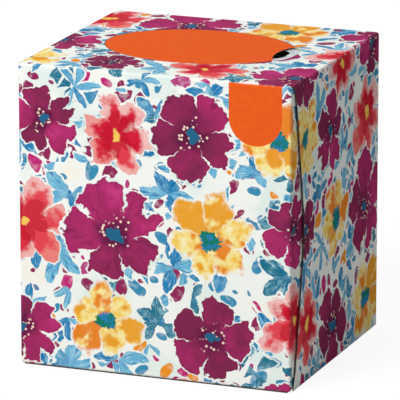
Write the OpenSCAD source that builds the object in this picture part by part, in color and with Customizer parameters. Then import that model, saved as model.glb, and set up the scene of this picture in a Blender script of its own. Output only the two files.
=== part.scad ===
// Cube tissue box: a glued paperboard carton with a tear-off oval in its top, a film window
// under the oval and a folded clip of tissues inside. Millimetres, +Z up, origin at the middle
// of the bottom, front panel on -Y.

/* [Carton] */
// Width over the two end panels, along X
carton_w = 116; // [95:1:150]
// Depth from the front panel to the back panel, along Y
carton_d = 104; // [90:1:130]
// Height from the bottom panel to the top panel
carton_h = 124; // [110:1:160]
// Thickness of the paperboard
board_t = 0.45; // [0.35:0.05:0.6]
// Outer radius of every scored fold
fold_r = 1; // [0.8:0.1:1.6]

/* [Bottom seam] */
// Length of the glue flap that folds in from the front panel
glue_flap_l = 16; // [10:1:22]
// Distance that the bottom panel's free edge stays behind the front
bottom_setback = 0.6; // [0.2:0.1:1.5]

/* [End flaps] */
// Length of the dust flaps that fold in from the front and the back
dust_flap_l = 38; // [25:1:42]
// Distance that a dust flap stays below the top and above the bottom
dust_flap_gap = 1.3; // [1.1:0.1:3]
// Radius of a dust flap's free corners
dust_corner_r = 8; // [3:1:14]
// Height of the inner flap that folds up from the bottom
inner_flap_h = 46; // [20:1:70]
// Distance that the inner flap stays inside the front and the back
inner_flap_inset = 17; // [14:1:30]
// Radius of the inner flap's free corners
inner_corner_r = 10; // [4:1:14]
// Distance from the front fold to the outer flap's edge, at its top and bottom
seam_clear = 1.4; // [0.5:0.1:3]
// Lean of the outer flap's front edge, in degrees
seam_lean = 10.6; // [4:0.2:12]
// Radius that joins the two leaning stretches at mid height
seam_r = 72; // [40:1:110]
// Distance from the back fold to the outer flap's back edge
outer_back_clear = 0.2; // [0.1:0.1:1]
// Distance that the outer flap stays above the bottom
outer_bottom_gap = 0.4; // [0.2:0.1:1.5]

/* [Tear-off oval] */
// Length of the oval along X
oval_l = 79; // [60:1:84]
// Width of the oval along Y
oval_w = 59.5; // [44:0.5:70]
// Place of the oval's centre along X
oval_x = -0.7; // [-4:0.1:4]
// Place of the oval's centre along Y
oval_y = 0.8; // [-4:0.1:4]
// Length of one perforation slit
slit_l = 5.6; // [3:0.1:9]
// Uncut board between two slits
nick_l = 1.3; // [0.6:0.1:2.5]
// Width of a slit
slit_kerf = 0.3; // [0.2:0.05:0.5]

/* [Finger hole] */
// Width of the finger hole along X
finger_w = 8.4; // [7:0.1:12]
// Length of the finger hole along Y
finger_l = 23.6; // [18:0.1:30]
// Radius of the finger hole's two ends
finger_end_r = 2.6; // [1.5:0.1:3.2]
// Distance that the finger hole reaches past the oval's tip
finger_over = 1.6; // [0.5:0.1:4]

/* [Film window] */
// Thickness of the film
film_t = 0.08; // [0.05:0.01:0.15]
// Width of the glued border around the oval
film_border = 9; // [6:0.5:12]
// Radius of the film's corners
film_corner_r = 5; // [2:0.5:10]
// Width of the dispensing slot
slot_w = 15; // [8:0.5:20]
// Radius of the slot's corners
slot_corner_r = 5; // [2:0.5:7]
// Distance from the slot's left end to the oval's left tip
slot_left_in = 4; // [2:0.5:12]
// Width of film that shows beside the slot in the finger hole
slot_right_in = 4; // [2:0.1:4.1]

/* [Tissue clip] */
// Gap between the clip and each end of the carton
clip_end_gap = 1.6; // [0.6:0.1:6]
// Gap between the clip and the front and back panels
clip_side_gap = 1.8; // [0.6:0.1:6]
// Gap between the clip and the film
clip_head_gap = 7.5; // [4:0.5:20]
// Radius at the clip's two folded top corners
clip_fold_r = 14; // [8:1:24]
// Thickness of one layer of the folded clip
leaf_pitch = 5.4; // [3:0.2:8]
// Width of the crevice between two layers
crevice_w = 0.5; // [0.3:0.1:0.8]
// Depth of the crevices into the clip's ends
crevice_d = 1.6; // [0.6:0.1:3]
// Half width of the slit where the clip's two legs meet
leg_gap = 0.8; // [0.4:0.1:2]
// Width of the first tissue's folded edge on top
lead_w = 46; // [30:1:60]
// Height of the first tissue's folded edge
lead_t = 1.2; // [0.6:0.1:2]

/* [Hidden] */
$fn = 64;
big = 4 * max(carton_w, carton_d, carton_h);
half_w = carton_w / 2;
half_d = carton_d / 2;
bend_r = fold_r - board_t;
// Overlap of solids that are one sheet of board, and reach of a cut past a face
lap = fold_r;
// Outer faces of the three layers of board at each end, counted from the outside
outer_face = half_w;
dust_face = half_w - board_t;
inner_face = half_w - 2 * board_t;
// Where the front, top and back panels end and their folds start
tube_half = dust_face - fold_r;
bottom_half = inner_face - fold_r;
// The seam: straight leaning stretches and the tangent arc between them
seam_start = fold_r + seam_clear;
seam_mid = carton_h / 2;
seam_apex = seam_start + seam_mid * tan(seam_lean) - seam_r * (1 / cos(seam_lean) - 1);
seam_tangent = seam_r * sin(seam_lean);
// The oval
oval_a = oval_l / 2;
oval_b = oval_w / 2;
oval_tip = oval_x + oval_a;
finger_x = oval_tip + finger_over - finger_w / 2;
finger_end_y = finger_l / 2 - finger_end_r;
finger_swell = finger_w / 2 - finger_end_r;
finger_side_x = (finger_end_y ^ 2 - finger_swell ^ 2) / (2 * finger_swell);
finger_side_r = finger_side_x + finger_w / 2;
finger_tangent_y = finger_side_r * finger_end_y / (finger_side_x + finger_swell);
film_z = carton_h - board_t - film_t;
slot_x0 = oval_x - oval_a + slot_left_in;
slot_x1 = finger_x + finger_w / 2 - slot_right_in;
// The tissue clip
clip_z0 = 2 * board_t;
clip_z1 = film_z - clip_head_gap;
clip_w = 2 * (inner_face - board_t - clip_end_gap);
clip_d = 2 * (half_d - board_t - clip_side_gap);
clip_h = clip_z1 - clip_z0;
leaf_count = floor((clip_d / 2 - leg_gap) / leaf_pitch) - 1;

// Point of the oval at angle a, with the oval grown or shrunk by off
function oval_point(a, off) = [oval_x + (oval_a + off) * cos(a), oval_y + (oval_b + off) * sin(a)];
// Length of the oval's edge for one degree at angle a
function edge_per_degree(a) = norm([oval_a * sin(a), oval_b * cos(a)]) * PI / 180;
// Angles at which the slits start, one slit and one nick apart
function slit_angles(a, last) =
    a + slit_l / edge_per_degree(a) > last
    ? []
    : concat([a], slit_angles(a + (slit_l + nick_l) / edge_per_degree(a), last));

// Rectangle from corner p to corner q
module rect_2d(p, q) {
    translate(p) square(q - p);
}

// Rectangle with four round corners, from corner p to corner q
module rounded_2d(p, q, r) {
    rect_2d([p.x + r, p.y], [q.x - r, q.y]);
    rect_2d([p.x, p.y + r], [q.x, q.y - r]);
    for (x = [p.x + r, q.x - r], y = [p.y + r, q.y - r])
        translate([x, y]) circle(r = r);
}

// Area below and left of the origin, a wide and b high, with that corner round
module corner_area_2d(a, b, r) {
    rect_2d([-a, -b], [-r, 0]);
    rect_2d([-a, -b], [0, -r]);
    translate([-r, -r]) circle(r = r);
}

// Edge of a board folded at the origin: one leg runs a to the left, the other b down
module folded_2d(a, b) {
    difference() {
        corner_area_2d(a, b, fold_r);
        translate([-board_t, -board_t]) corner_area_2d(a, b, bend_r);
    }
}

// A YZ outline made solid from x0 to x1
module along_x(x0, x1) {
    translate([x0, 0, 0])
        rotate([90, 0, 90])
            linear_extrude(x1 - x0) children();
}

// An XZ outline made solid right through the carton's depth
module along_y() {
    translate([0, big / 2, 0])
        rotate([90, 0, 0])
            linear_extrude(big) children();
}

// Front, top and back panels with the folds between them, and the glue flap below
module tube_2d() {
    translate([-half_d, carton_h]) mirror([1, 0]) folded_2d(carton_d - fold_r, carton_h - board_t - fold_r);
    translate([half_d, carton_h]) folded_2d(fold_r + lap, carton_h - fold_r);
    translate([-half_d, board_t]) rotate(180) folded_2d(glue_flap_l, fold_r + lap);
}

// The bottom panel and the fold that hangs it on the back panel. Its front edge is free.
module bottom_2d() {
    translate([half_d, 0]) mirror([0, 1]) folded_2d(carton_d - bottom_setback, fold_r + lap);
}

// Outline of the front dust flap as seen from the end
module dust_outline_2d() {
    hinge = [-half_d - 2 * dust_corner_r, dust_flap_gap];
    rounded_2d(hinge, [dust_flap_l - half_d, carton_h - dust_flap_gap], dust_corner_r);
}

// Dust flap at the +X end, hinged on the front panel
module dust_flap() {
    intersection() {
        linear_extrude(carton_h)
            translate([dust_face, -half_d]) mirror([0, 1]) folded_2d(fold_r + lap, dust_flap_l + lap);
        along_x(0, half_w) dust_outline_2d();
    }
}

// Outline of the inner flap as seen from the end
module inner_outline_2d() {
    reach = half_d - inner_flap_inset;
    rounded_2d([-reach, -2 * inner_corner_r], [reach, inner_flap_h], inner_corner_r);
}

// Inner flap at the +X end, hinged on the bottom panel
module inner_flap() {
    intersection() {
        along_y()
            translate([inner_face, 0]) mirror([0, 1]) folded_2d(fold_r + lap, inner_flap_h + lap);
        along_x(0, half_w) inner_outline_2d();
    }
}

// What the leaning, bowed front edge cuts away from the outer flap
module seam_cut_2d() {
    straight = seam_start + (seam_mid - seam_tangent) * tan(seam_lean);
    translate([-half_d, 0]) {
        polygon([
            [-lap, 0], [seam_start, 0],
            [straight, seam_mid - seam_tangent], [straight, seam_mid + seam_tangent],
            [seam_start, carton_h + lap], [-lap, carton_h + lap]
        ]);
        intersection() {
            translate([seam_apex - seam_r, seam_mid]) circle(r = seam_r, $fn = 180);
            rect_2d([0, seam_mid - seam_tangent], [seam_apex + lap, seam_mid + seam_tangent]);
        }
    }
}

// Outline of the outer flap as seen from the end
module outer_outline_2d() {
    difference() {
        rect_2d([-half_d, outer_bottom_gap], [half_d - fold_r - outer_back_clear, carton_h]);
        seam_cut_2d();
    }
}

// Outer flap at the +X end, hinged on the top panel
module outer_flap() {
    intersection() {
        along_y()
            translate([outer_face, carton_h]) folded_2d(outer_face - tube_half + lap, carton_h);
        along_x(0, half_w) outer_outline_2d();
    }
}

// The part of the top panel that reaches over the dust flaps
module top_lip() {
    along_x(tube_half - lap, dust_face)
        rect_2d([fold_r - half_d, carton_h - board_t], [half_d - fold_r, carton_h]);
}

module end_closure() {
    dust_flap();
    mirror([0, 1, 0]) dust_flap();
    inner_flap();
    outer_flap();
    top_lip();
}

// One perforation slit from angle a, along the oval's edge
module slit_2d(a) {
    turn = slit_l / edge_per_degree(a);
    steps = 4;
    outer = [for (i = [0:steps]) oval_point(a + turn * i / steps, slit_kerf / 2)];
    inner = [for (i = [steps:-1:0]) oval_point(a + turn * i / steps, -slit_kerf / 2)];
    polygon(concat(outer, inner));
}

// Oval of four tangent arcs: two long sides and two round ends
module finger_hole_2d() {
    translate([finger_x, oval_y]) {
        intersection() {
            square([finger_w, 2 * finger_tangent_y], center = true);
            translate([-finger_side_x, 0]) circle(r = finger_side_r, $fn = 180);
            translate([finger_side_x, 0]) circle(r = finger_side_r, $fn = 180);
        }
        for (y = [-finger_end_y, finger_end_y])
            translate([0, y]) circle(r = finger_end_r);
    }
}

// Slits run round the oval from one side of the finger hole to the other
module perforation_2d() {
    half_gap = asin((finger_l / 2 + nick_l) / oval_b);
    for (a = slit_angles(half_gap, 360 - half_gap)) slit_2d(a);
}

module carton() {
    color("#f3efe6")
        difference() {
            union() {
                along_x(-tube_half, tube_half) tube_2d();
                along_x(-bottom_half, bottom_half) bottom_2d();
                end_closure();
                mirror([1, 0, 0]) end_closure();
            }
            translate([0, 0, carton_h - 2 * board_t])
                linear_extrude(4 * board_t) {
                    perforation_2d();
                    finger_hole_2d();
                }
        }
}

module film_window() {
    near = [oval_x - oval_a - film_border, oval_y - oval_b - film_border];
    far = [oval_x + oval_a + film_border, oval_y + oval_b + film_border];
    color([0.85, 0.87, 0.88, 0.5])
        translate([0, 0, film_z])
            linear_extrude(film_t)
                difference() {
                    rounded_2d(near, far, film_corner_r);
                    rounded_2d([slot_x0, oval_y - slot_w / 2], [slot_x1, oval_y + slot_w / 2], slot_corner_r);
                }
}

// Arch of the folded clip, seen from the end, shrunk by off on its top and sides
module arch_2d(off) {
    r = max(clip_fold_r - off, 0.5);
    half = clip_d / 2 - off;
    top = clip_h - off;
    rect_2d([-half, 0], [half, top - r]);
    rect_2d([r - half, 0], [half - r, top]);
    for (y = [r - half, half - r])
        translate([y, top - r]) circle(r = r);
}

// Crevices between the layers, as thin arches one inside the other
module crevices_2d() {
    for (i = [1:leaf_count])
        difference() {
            arch_2d(i * leaf_pitch);
            arch_2d(i * leaf_pitch + crevice_w);
        }
    rect_2d([-leg_gap, 0], [leg_gap, clip_h - (leaf_count + 1) * leaf_pitch]);
}

module tissue_clip() {
    color("#fbfaf6")
        translate([0, 0, clip_z0]) {
            difference() {
                along_x(-clip_w / 2, clip_w / 2) arch_2d(0);
                along_x(clip_w / 2 - crevice_d, clip_w / 2 + crevice_d) crevices_2d();
                along_x(-clip_w / 2 - crevice_d, crevice_d - clip_w / 2) crevices_2d();
            }
            translate([0, oval_y, clip_h])
                along_x(crevice_d - clip_w / 2, clip_w / 2 - crevice_d)
                    rect_2d([-lead_w / 2, -lead_t], [lead_w / 2, lead_t]);
        }
}

carton();
film_window();
tissue_clip();
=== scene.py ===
import math

import bmesh
import bpy
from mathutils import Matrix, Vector


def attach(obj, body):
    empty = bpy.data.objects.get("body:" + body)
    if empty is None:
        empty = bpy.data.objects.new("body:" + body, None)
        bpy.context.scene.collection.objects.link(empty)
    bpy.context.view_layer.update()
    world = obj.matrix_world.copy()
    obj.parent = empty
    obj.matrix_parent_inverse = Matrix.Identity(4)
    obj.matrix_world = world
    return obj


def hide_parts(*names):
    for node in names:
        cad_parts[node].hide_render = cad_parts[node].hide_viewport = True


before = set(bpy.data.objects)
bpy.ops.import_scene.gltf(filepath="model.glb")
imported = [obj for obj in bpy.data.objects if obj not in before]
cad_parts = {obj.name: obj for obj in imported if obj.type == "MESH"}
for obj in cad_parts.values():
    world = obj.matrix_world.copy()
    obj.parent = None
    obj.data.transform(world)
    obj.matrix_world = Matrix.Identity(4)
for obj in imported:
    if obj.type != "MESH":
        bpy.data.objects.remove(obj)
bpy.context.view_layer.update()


# Camera
# A long lens, level with its horizon, a little above the box and to the right of its front.
camera_place = Vector((0.64414, -1.67154, 0.53487))
camera_aim = Vector((0.00075, -0.0030, 0.06138))
bpy.ops.object.camera_add(location=camera_place)
camera = bpy.context.object
camera.name = "product_camera"
camera.rotation_euler = (camera_aim - camera_place).to_track_quat("-Z", "Y").to_euler()
camera.data.lens = 412.4
camera.data.sensor_width = 36.0
camera.data.clip_end = 20.0
bpy.context.scene.camera = camera
bpy.context.scene.view_settings.view_transform = "Standard"


# Carton
# The printed paperboard carton, one die-cut blank of 0.45 mm board, coated on its outer side.
# Its panels and flaps are drawn out flat, print side up, and then folded down along the scores:
# front, top, back and bottom make a tube, and three layers of flaps close each end.
MM = 0.001
# Places nearer to each other than a hair count as one, and glued layers lie about a hair apart.
HAIR = 0.01 * MM
HALF_W, HALF_D, HEIGHT = 58 * MM, 52 * MM, 124 * MM
BOARD = 0.45 * MM
FOLD_R = 1 * MM
FOLD_STEPS = 4
FOLD_STEP = 2 * FOLD_R * math.sin(math.pi / (4 * FOLD_STEPS))
FOLD_STRIP = FOLD_STEPS * FOLD_STEP
TUBE_HALF = HALF_W - BOARD - FOLD_R
# Where the panels start and end along the blank, counted from the floor up the front panel
FRONT_0, FRONT_1 = BOARD + FOLD_R, HEIGHT - FOLD_R
TOP_0 = FRONT_1 + FOLD_STRIP
TOP_1 = TOP_0 + 2 * (HALF_D - FOLD_R)
BACK_0 = TOP_1 + FOLD_STRIP
BACK_1 = BACK_0 + HEIGHT - 2 * FOLD_R
BOTTOM_0 = BACK_1 + FOLD_STRIP
TOP_MIDDLE = (TOP_0 + TOP_1) / 2
# How far the flaps reach from their folds, and half the width of the inner ones
GLUE_FLAP = 15 * MM
DUST_FLAP = 37 * MM
INNER_FLAP, INNER_HALF = 45 * MM, 35 * MM
INNER_MIDDLE = BOTTOM_0 + 16 * MM + INNER_HALF


def select_in(piece, wanted, places=None):
    """Selects, in edit mode, the vertices whose place the test accepts, and the edges between
    them. A list of earlier places can stand in for the present ones."""
    bpy.ops.mesh.select_all(action="DESELECT")
    mesh = bmesh.from_edit_mesh(piece.data)
    for vert in mesh.verts:
        vert.select_set(bool(wanted(places[vert.index] if places else vert.co)))
    mesh.select_flush(True)
    bmesh.update_edit_mesh(piece.data)


def draw_out(direction, lengths):
    """Extrudes the selected edges of the blank once for each length."""
    for length in lengths:
        move = Vector(direction) * length
        bpy.ops.mesh.extrude_region_move(TRANSFORM_OT_translate={"value": move})


def close_to(value, wanted):
    return abs(value - wanted) < HAIR


def between(value, low, high):
    return low - HAIR < value < high + HAIR


def apply_modifier(kind, **settings):
    """Adds a modifier to the active piece, sets it and applies it."""
    bpy.ops.object.modifier_add(type=kind)
    made = bpy.context.object.modifiers[-1]
    for name, value in settings.items():
        setattr(made, name, value)
    bpy.ops.object.modifier_apply(modifier=made.name)


bpy.ops.object.select_all(action="DESELECT")
bpy.ops.mesh.primitive_grid_add(x_subdivisions=16, y_subdivisions=16, size=1, location=(0, 0, 0))
carton = bpy.context.object
carton.name = "printed_carton"
bpy.ops.object.mode_set(mode="EDIT")
bpy.ops.mesh.select_mode(type="VERT")
bpy.ops.transform.resize(value=(2 * TUBE_HALF, FRONT_1 - FRONT_0, 1), center_override=(0, 0, 0))
bpy.ops.transform.translate(value=(0, (FRONT_0 + FRONT_1) / 2, 0))

# Top, back and bottom follow one another from the front panel's upper edge.
strip = [FOLD_STEP] * FOLD_STEPS
select_in(carton, lambda p: close_to(p.y, FRONT_1))
draw_out((0, 1, 0), strip + [(TOP_1 - TOP_0) / 14] * 14)
draw_out((0, 1, 0), strip + [(BACK_1 - BACK_0) / 16] * 16)
draw_out((0, 1, 0), strip + [8 * MM] * 2 + [INNER_HALF / 4] * 8 + [8.2 * MM] * 2)
# The glue flap hangs on the front panel's lower edge, with its ends cut back at a slant.
select_in(carton, lambda p: close_to(p.y, FRONT_0))
draw_out((0, -1, 0), strip + [GLUE_FLAP / 2] * 2)
bpy.ops.transform.resize(value=(0.82, 1, 1), center_override=(0, 0, 0))
# The bottom panel is narrower by one board at each end, because its flaps lie further in.
select_in(carton, lambda p: p.y > BOTTOM_0 - HAIR)
bpy.ops.transform.resize(value=((TUBE_HALF - BOARD) / TUBE_HALF, 1, 1), center_override=(0, 0, 0))

for side in (-1, 1):
    # The outer flap hangs on the top. Its rows lie closer at mid height, where the seam bows.
    select_in(carton, lambda p: close_to(p.x * side, TUBE_HALF) and between(p.y, TOP_0, TOP_1))
    draw_out((side, 0, 0), [BOARD] + strip + [7.8 * MM] * 6 + [3.4 * MM] * 8 + [8.1 * MM] * 6)
    # The dust flaps hang on the front and the back.
    for low, high in ((FRONT_0, FRONT_1), (BACK_0, BACK_1)):
        select_in(carton, lambda p: close_to(p.x * side, TUBE_HALF) and between(p.y, low, high))
        draw_out((side, 0, 0), strip + [DUST_FLAP / 4] * 4)
    # The inner flap hangs on the middle of the bottom.
    select_in(
        carton,
        lambda p: close_to(p.x * side, TUBE_HALF - BOARD)
        and abs(p.y - INNER_MIDDLE) < INNER_HALF + HAIR,
    )
    draw_out((side, 0, 0), strip + [INNER_FLAP / 4] * 4)

# The dust flaps stop short of the top and the bottom, and every free corner is round.
FOLD_END = TUBE_HALF + FOLD_STRIP + HAIR
for edge, gap in ((FRONT_1, -0.3 * MM), (BACK_0, 0.3 * MM), (BACK_1, -0.3 * MM)):
    select_in(carton, lambda p: close_to(p.y, edge) and abs(p.x) > FOLD_END)
    bpy.ops.transform.translate(value=(0, gap, 0))
# Where they leave the front and the back, the board is pressed round into the corner of the box,
# so no hole shows there.
for edge, way in ((FRONT_0, -1), (FRONT_1, 1), (BACK_0, -1), (BACK_1, 1)):
    for side in (-1, 1):
        select_in(
            carton, lambda p: close_to(p.y, edge) and TUBE_HALF - HAIR < p.x * side < FOLD_END
        )
        draw_out((0, way, 0), strip[1:] + [0.36 * MM])
bpy.ops.mesh.select_all(action="SELECT")
bpy.ops.mesh.remove_doubles(threshold=HAIR)
dust_end = TUBE_HALF + FOLD_STRIP + DUST_FLAP
select_in(
    carton,
    lambda p: close_to(abs(p.x), dust_end)
    and min(abs(p.y - e) for e in (FRONT_0, FRONT_1, BACK_0, BACK_1)) < 0.5 * MM,
)
bpy.ops.mesh.bevel(offset=7 * MM, segments=5, affect="VERTICES")
inner_end = TUBE_HALF - BOARD + FOLD_STRIP + INNER_FLAP
select_in(
    carton,
    lambda p: close_to(abs(p.x), inner_end) and close_to(abs(p.y - INNER_MIDDLE), INNER_HALF),
)
bpy.ops.mesh.bevel(offset=8 * MM, segments=5, affect="VERTICES")

# The outer flap's front edge leans back from both ends of its height, and an arc joins the two
# leaning stretches, so the seam is bowed. Its back edge just clears the back fold.
SEAM_LEAN = math.radians(10.6)
SEAM_R = 72 * MM
SEAM_START = 2.4 * MM
flap_0 = HALF_W - FOLD_R + FOLD_STRIP
half_arc = SEAM_R * math.sin(SEAM_LEAN)
bow_middle = HEIGHT / 2
bow_reach = SEAM_START + bow_middle * math.tan(SEAM_LEAN) - SEAM_R * (1 / math.cos(SEAM_LEAN) - 1)


def seam_offset(height):
    """Distance of the outer flap's front edge from the front panel's face, at a height."""
    from_middle = abs(height - bow_middle)
    if from_middle < half_arc:
        return bow_reach - SEAM_R + math.sqrt(SEAM_R**2 - from_middle**2)
    return SEAM_START + (bow_middle - from_middle) * math.tan(SEAM_LEAN)


def smooth_step(low, high, value):
    share = min(max((value - low) / (high - low), 0), 1)
    return share * share * (3 - 2 * share)


def on_flap(p):
    return abs(p.x) > HALF_W - FOLD_R + HAIR and between(p.y, TOP_0, TOP_1)


select_in(carton, on_flap)
flap_places = [v.co.x for v in bmesh.from_edit_mesh(carton.data).verts if v.select]
flap_rows = sorted({round(x, 6) for x in flap_places if x > 0})
back_edge = TOP_1 - 0.2 * MM
for row in flap_rows:
    height = FRONT_1 - (row - flap_0) if row > flap_0 else HEIGHT
    # Round the fold, the edge starts at the top panel's corner and runs back to the seam.
    turned = min((row - HALF_W + FOLD_R) / FOLD_STRIP, 1)
    front_edge = TOP_0 + turned * (seam_offset(height) - FOLD_R)
    narrowing = (back_edge - front_edge) / (TOP_1 - TOP_0)
    select_in(carton, lambda p: on_flap(p) and close_to(abs(p.x), row))
    bpy.ops.transform.resize(value=(1, narrowing, 1), center_override=(0, TOP_1, 0))
    bpy.ops.transform.translate(value=(0, back_edge - TOP_1, 0))
    # Glued board springs: the seam's edge stands off the flap under it, a little more near the
    # top, and not at all where the fold and the floor hold it.
    spring = (0.5 + 0.12 * smooth_step(20 * MM, 105 * MM, height)) * MM
    spring *= smooth_step(0, 6 * MM, height) * smooth_step(HEIGHT, HEIGHT - 8 * MM, height)
    for reach, share in ((0.5 * MM, 0.6), (9 * MM, 0.4)):
        select_in(
            carton,
            lambda p: on_flap(p) and close_to(abs(p.x), row) and p.y < front_edge + reach,
        )
        bpy.ops.transform.translate(value=(0, 0, spring * share))

# The large panels are bowed out a little between their folds.
for middle_x, middle_y, rise in ((0, 62, 0.4), (0, 289, 0.35), (128, 180, 0.35), (-128, 180, 0.35)):
    select_in(carton, lambda p: math.hypot(p.x - middle_x * MM, p.y - middle_y * MM) < 6 * MM)
    bpy.ops.transform.translate(
        value=(0, 0, rise * MM),
        use_proportional_edit=True,
        proportional_edit_falloff="SMOOTH",
        proportional_size=48 * MM,
    )
bpy.ops.mesh.select_all(action="SELECT")
bpy.ops.object.mode_set(mode="OBJECT")

# The print follows the flat blank, so its map is made before the folds: metres across the front
# panel, and metres up the front and on over the top.
flat = [v.co.copy() for v in carton.data.vertices]
blank_map = carton.data.uv_layers.new(name="blank")
for loop in carton.data.loops:
    blank_map.data[loop.index].uv = flat[loop.vertex_index].xy


def fold(part, axis, start, way):
    """Folds a part of the blank down by a right angle. The lines that it bends over start at a
    place and go one way."""
    along = 0 if axis == "Y" else 1
    for number in range(FOLD_STEPS, -1, -1):
        line = start + way * number * FOLD_STEP
        turn = math.radians(90 / FOLD_STEPS) * (0.5 if number in (0, FOLD_STEPS) else 1)
        select_in(carton, lambda p: part(p) and (p[along] - line) * way > -HAIR / 10, flat)
        pivot = (line, 0, 0) if axis == "Y" else (0, line, 0)
        # Without a window the operator turns the other way, so the angle's sign is the reverse.
        turn *= -way if axis == "Y" else way
        bpy.ops.transform.rotate(value=turn, orient_axis=axis, center_override=pivot)


bpy.ops.object.mode_set(mode="EDIT")
bpy.ops.mesh.select_mode(type="VERT")
for way in (-1, 1):
    fold(lambda p: p.y < TOP_0 - HAIR, "Y", way * TUBE_HALF, way)
    fold(lambda p: between(p.y, TOP_0, TOP_1), "Y", way * (HALF_W - FOLD_R), way)
    fold(lambda p: TOP_1 + HAIR < p.y < BOTTOM_0 - HAIR, "Y", way * TUBE_HALF, way)
    fold(lambda p: p.y > BOTTOM_0 - HAIR, "Y", way * (TUBE_HALF - BOARD), way)
for start in (BACK_1, TOP_1, FRONT_1):
    fold(lambda p: True, "X", start, 1)
fold(lambda p: True, "X", FRONT_0, -1)
bpy.ops.mesh.select_all(action="SELECT")
bpy.ops.transform.rotate(value=-math.pi / 2, orient_axis="X", center_override=(0, 0, 0))
bpy.ops.transform.translate(value=(0, -HALF_D, 0))
bpy.ops.object.mode_set(mode="OBJECT")

# The board's thickness goes inwards. Two hairs of it are left off, which keeps glued layers apart.
# The faces fall to three materials, made further down: printed outside, bare inside, cut edges.
for number in range(3):
    carton.data.materials.append(None)
apply_modifier(
    "SOLIDIFY",
    thickness=BOARD - 2 * HAIR,
    offset=-1,
    use_even_offset=True,
    material_offset=1,
    material_offset_rim=2,
)

# The die cuts the tear-off oval as a row of slits with uncut nicks between them. It leaves out
# the oval's right tip, where a long round hole lets a fingertip in.
OVAL_A, OVAL_B = 39.5 * MM, 29.75 * MM
OVAL_X, OVAL_Y = -0.7 * MM, 0.8 * MM
HOLE_X, HOLE_W, HOLE_L = 36.2 * MM, 8.4 * MM, 23.6 * MM
SLIT, NICK, KERF = 5.6 * MM, 1.3 * MM, 0.3 * MM
SLIT_POINTS = 5


def oval_speed(angle):
    return math.hypot(OVAL_A * math.sin(angle), OVAL_B * math.cos(angle))


slit_starts = []
angle = math.asin((HOLE_L / 2 + NICK) / OVAL_B)
last_angle = 2 * math.pi - angle
while angle + SLIT / oval_speed(angle) < last_angle:
    slit_starts.append(angle)
    angle += (SLIT + NICK) / oval_speed(angle)

bpy.ops.object.select_all(action="DESELECT")
points = SLIT_POINTS * len(slit_starts)
bpy.ops.mesh.primitive_circle_add(vertices=points, radius=1, location=(0, 0, 0))
knife = bpy.context.object
bpy.ops.object.mode_set(mode="EDIT")
bpy.ops.mesh.select_mode(type="VERT")
mesh = bmesh.from_edit_mesh(knife.data)
mesh.verts.ensure_lookup_table()
for number, start in enumerate(slit_starts):
    for step in range(SLIT_POINTS):
        angle = start + SLIT / oval_speed(start) * step / (SLIT_POINTS - 1)
        mesh.verts[SLIT_POINTS * number + step].co = (
            OVAL_X + OVAL_A * math.cos(angle),
            OVAL_Y + OVAL_B * math.sin(angle),
            HEIGHT - 2 * MM,
        )
bpy.ops.mesh.select_all(action="DESELECT")
bpy.ops.mesh.select_mode(type="EDGE")
mesh = bmesh.from_edit_mesh(knife.data)
for edge in mesh.edges:
    first, second = sorted(v.index for v in edge.verts)
    edge.select_set(second - first > 1 or second % SLIT_POINTS == 0)
bmesh.update_edit_mesh(knife.data)
bpy.ops.mesh.delete(type="EDGE")
bpy.ops.mesh.select_all(action="SELECT")
bpy.ops.mesh.extrude_region_move(TRANSFORM_OT_translate={"value": (0, 0, 4 * MM)})
bpy.ops.object.mode_set(mode="OBJECT")
apply_modifier("SOLIDIFY", thickness=KERF, offset=0)

bpy.ops.mesh.primitive_cylinder_add(
    vertices=64, radius=HOLE_W / 2, depth=4 * MM, location=(0, 0, 0)
)
punch = bpy.context.object
bpy.ops.object.mode_set(mode="EDIT")
bpy.ops.transform.resize(value=(1, HOLE_L / HOLE_W, 1), center_override=(0, 0, 0))
bpy.ops.transform.translate(value=(HOLE_X, OVAL_Y, HEIGHT))
bpy.ops.object.mode_set(mode="OBJECT")
# What the dies cut open shows the core of the board, the third of its materials.
for die in (knife, punch):
    for number in range(3):
        die.data.materials.append(None)
    for face in die.data.polygons:
        face.material_index = 2


def cut_with(piece, *tools):
    """Cuts each tool's solid out of a piece, and puts the tool away."""
    for tool in tools:
        bpy.context.view_layer.objects.active = piece
        apply_modifier("BOOLEAN", operation="DIFFERENCE", solver="EXACT", object=tool)
        bpy.data.objects.remove(tool)


def shade(piece, angle):
    """Smooth shading that keeps the creases sharper than an angle, and keeps flat faces flat."""
    bpy.ops.object.select_all(action="DESELECT")
    piece.select_set(True)
    bpy.context.view_layer.objects.active = piece
    bpy.ops.object.shade_smooth_by_angle(angle=math.radians(angle))
    apply_modifier("WEIGHTED_NORMAL", keep_sharp=True)


cut_with(carton, knife, punch)
shade(carton, 40)

# A second map lays every panel out once, the outer faces large, for a baked picture of the print.
# Each block is its least place on the blank, its size, where it goes, all in millimetres, and its
# scale. The blank's inner face and its cut edges go in small.
SHEET = 369
BLOCKS = [
    (-58.7, -15.3, 117.4, 139.1, 0, 0, 1), (-58.7, 123.8, 117.4, 103.5, 119, 0, 1),
    (-58.7, 227.3, 117.4, 123.7, 0, 141, 1), (-58.7, 351.0, 117.4, 103.2, 0, 266, 1),
    (57.8, 124.0, 123.5, 103.0, 119, 141, 1), (-181.3, 124.0, 123.5, 103.0, 119, 266, 1),
    (57.3, 0.0, 38.0, 123.8, 245, 141, 0.74), (-95.3, 0.0, 38.0, 123.8, 274, 141, 0.74),
    (57.3, 227.3, 38.0, 123.7, 303, 141, 0.74), (-95.3, 227.3, 38.0, 123.7, 332, 141, 0.74),
    (56.9, 351.0, 46.0, 103.2, 245, 266, 0.7), (-102.9, 351.0, 46.0, 103.2, 280, 266, 0.7),
]
bake_map = carton.data.uv_layers.new(name="OFBake")
blank_map = carton.data.uv_layers["blank"]
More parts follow.
